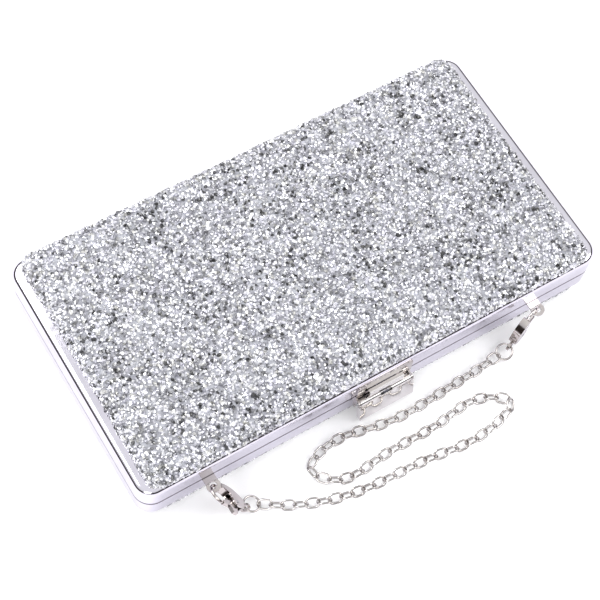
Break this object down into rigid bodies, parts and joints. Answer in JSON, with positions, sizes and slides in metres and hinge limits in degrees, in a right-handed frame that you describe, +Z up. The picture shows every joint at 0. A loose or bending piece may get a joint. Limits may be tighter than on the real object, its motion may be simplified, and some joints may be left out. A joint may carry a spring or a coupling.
{
  "type": "evening bag",
  "caption": "Hard box evening bag with crushed-crystal fabric faces, polished metal rims, push clasp and a detachable wrist chain on lobster claws.",
  "frame": {"origin": "centre of the rear cover's flat resting face", "axes": "+Z up, out of the front face; +X along the long side; -Y towards the clasp edge, +Y towards the hinge edge"},
  "size_m": [0.2, 0.1414, 0.029],
  "materials": {
    "polished_rim": "polished pale nickel plate",
    "polished_hardware": "polished nickel plate",
    "chain_metal": "bright nickel-plated wire",
    "hinge_steel": "plain drawn steel",
    "spring_steel": "blued spring strip and wire",
    "crystal_fabric": "crushed crystal chips glued on a cloth backing",
    "satin_lining": "silver grey satin",
    "padding": "open foam sheet",
    "board": "grey board"
  },
  "bodies": {
    "rear_half": {"rear_frame": "polished_rim", "rear_board": "board", "rear_padding": "padding", "rear_cover": "crystal_fabric", "rear_lining": "satin_lining", "slip_pocket": "satin_lining", "left_gusset": "satin_lining", "right_gusset": "satin_lining", "rear_hinge_leaves": "hinge_steel", "hinge_pins": "hinge_steel", "clasp_bracket": "polished_hardware", "clasp_rivets": "hinge_steel", "clasp_pin": "hinge_steel", "clasp_spring": "spring_steel", "left_chain_tab": "polished_hardware", "right_chain_tab": "polished_hardware"},
    "front_half": {"front_frame": "polished_rim", "front_board": "board", "front_padding": "padding", "front_cover": "crystal_fabric", "front_lining": "satin_lining", "front_hinge_leaves": "hinge_steel", "catch_plate": "polished_hardware", "catch_leaf": "spring_steel"},
    "lever": {"clasp_lever": "polished_hardware"},
    "left_claw": {"left_claw_body": "polished_hardware", "left_claw_pin": "hinge_steel"},
    "left_gate": {"left_claw_gate": "polished_hardware"},
    "left_ring": {"left_jump_ring": "chain_metal"},
    "right_claw": {"right_claw_body": "polished_hardware", "right_claw_pin": "hinge_steel"},
    "right_gate": {"right_claw_gate": "polished_hardware"},
    "right_ring": {"right_jump_ring": "chain_metal"},
    "chain_run_01": {"chain_01": "chain_metal"},
    "chain_run_02": {"chain_02": "chain_metal"},
    "chain_run_03": {"chain_03": "chain_metal"},
    "chain_run_04": {"chain_04": "chain_metal"},
    "chain_run_05": {"chain_05": "chain_metal"},
    "chain_run_06": {"chain_06": "chain_metal"},
    "chain_run_07": {"chain_07": "chain_metal"},
    "chain_run_08": {"chain_08": "chain_metal"},
    "chain_run_09": {"chain_09": "chain_metal"},
    "chain_run_10": {"chain_10": "chain_metal"},
    "chain_run_11": {"chain_11": "chain_metal"}
  },
  "joints": [
    {"name": "lid_hinge", "type": "hinge", "parent": "rear_half", "child": "front_half", "pos_m": [0, 0.0525, 0.0145], "axis": [-1, 0, 0], "range_deg": [0, 75], "deforming": ["left_gusset", "right_gusset", "catch_leaf"]},
    {"name": "clasp_push", "type": "hinge", "parent": "rear_half", "child": "lever", "pos_m": [0.0012, -0.05475, 0.0111], "axis": [1, 0, 0], "range_deg": [0, 14], "stiffness_Nm_per_rad": 0.004, "springref_deg": -20.05, "deforming": ["clasp_spring"]},
    {"name": "left_claw_swing", "type": "hinge", "parent": "rear_half", "child": "left_claw", "pos_m": [-0.0735, -0.0564, 0.014], "axis": [0, 0, -1], "range_deg": [0, 20]},
    {"name": "left_gate_open", "type": "hinge", "parent": "left_claw", "child": "left_gate", "pos_m": [-0.06922, -0.06456, 0.00799], "axis": [-0.8148, 0, -0.5798], "range_deg": [0, 14], "stiffness_Nm_per_rad": 0.0001, "springref_deg": -17.19},
    {"name": "right_claw_swing", "type": "hinge", "parent": "rear_half", "child": "right_claw", "pos_m": [0.0695, -0.0564, 0.014], "axis": [0, 0, 1], "range_deg": [0, 20]},
    {"name": "right_gate_open", "type": "hinge", "parent": "right_claw", "child": "right_gate", "pos_m": [0.06101, -0.05921, 0.00717], "axis": [0.309, -0.951, 0.0073], "range_deg": [0, 14], "stiffness_Nm_per_rad": 0.0001, "springref_deg": -17.19},
    {"name": "left_ring_lift", "type": "hinge", "parent": "left_claw", "child": "left_ring", "pos_m": [-0.06558, -0.0662, 0.00287], "axis": [0.0698, -0.9976, 0], "range_deg": [0, 30]},
    {"name": "right_ring_turn", "type": "hinge", "parent": "right_claw", "child": "right_ring", "pos_m": [0.05313, -0.06159, 0.0024], "axis": [-0.3319, -0.0827, 0.9397], "continuous": true},
    {"name": "chain_bend_01", "type": "hinge", "parent": "left_ring", "child": "chain_run_01", "pos_m": [-0.06035, -0.06732, 0.00174], "axis": [0, -1, 0], "range_deg": [0, 20]},
    {"name": "chain_bend_02", "type": "hinge", "parent": "chain_run_01", "child": "chain_run_02", "pos_m": [-0.03675, -0.07875, 0.00178], "axis": [0, -1, 0], "range_deg": [0, 20]},
    {"name": "chain_bend_03", "type": "hinge", "parent": "chain_run_02", "child": "chain_run_03", "pos_m": [-0.0108, -0.08256, 0.00178], "axis": [0.9744, -0.225, 0], "range_deg": [0, 12]},
    {"name": "chain_bend_04", "type": "hinge", "parent": "chain_run_03", "child": "chain_run_04", "pos_m": [0.01537, -0.08505, 0.00178], "axis": [0.9925, -0.1219, 0], "range_deg": [0, 12]},
    {"name": "chain_bend_05", "type": "hinge", "parent": "chain_run_04", "child": "chain_run_05", "pos_m": [0.04106, -0.0819, 0.00178], "axis": [1, 0, 0], "range_deg": [0, 20]},
    {"name": "chain_bend_06", "type": "hinge", "parent": "chain_run_05", "child": "chain_run_06", "pos_m": [0.0233, -0.07259, 0.00178], "axis": [1, 0, 0], "range_deg": [0, 12]},
    {"name": "chain_bend_07", "type": "hinge", "parent": "chain_run_06", "child": "chain_run_07", "pos_m": [0.00145, -0.07383, 0.00178], "axis": [1, 0, 0], "range_deg": [0, 12]},
    {"name": "chain_bend_08", "type": "hinge", "parent": "chain_run_07", "child": "chain_run_08", "pos_m": [-0.02478, -0.0749, 0.00178], "axis": [1, 0, 0], "range_deg": [0, 12]},
    {"name": "chain_bend_09", "type": "hinge", "parent": "chain_run_08", "child": "chain_run_09", "pos_m": [-0.02834, -0.06093, 0.00178], "axis": [0, -1, 0], "range_deg": [0, 25]},
    {"name": "chain_bend_10", "type": "hinge", "parent": "chain_run_09", "child": "chain_run_10", "pos_m": [-0.0024, -0.06342, 0.00178], "axis": [0, -1, 0], "range_deg": [0, 25]},
    {"name": "chain_bend_11", "type": "hinge", "parent": "chain_run_10", "child": "chain_run_11", "pos_m": [0.02386, -0.06351, 0.00178], "axis": [0, -1, 0], "range_deg": [0, 20]}
  ]
}
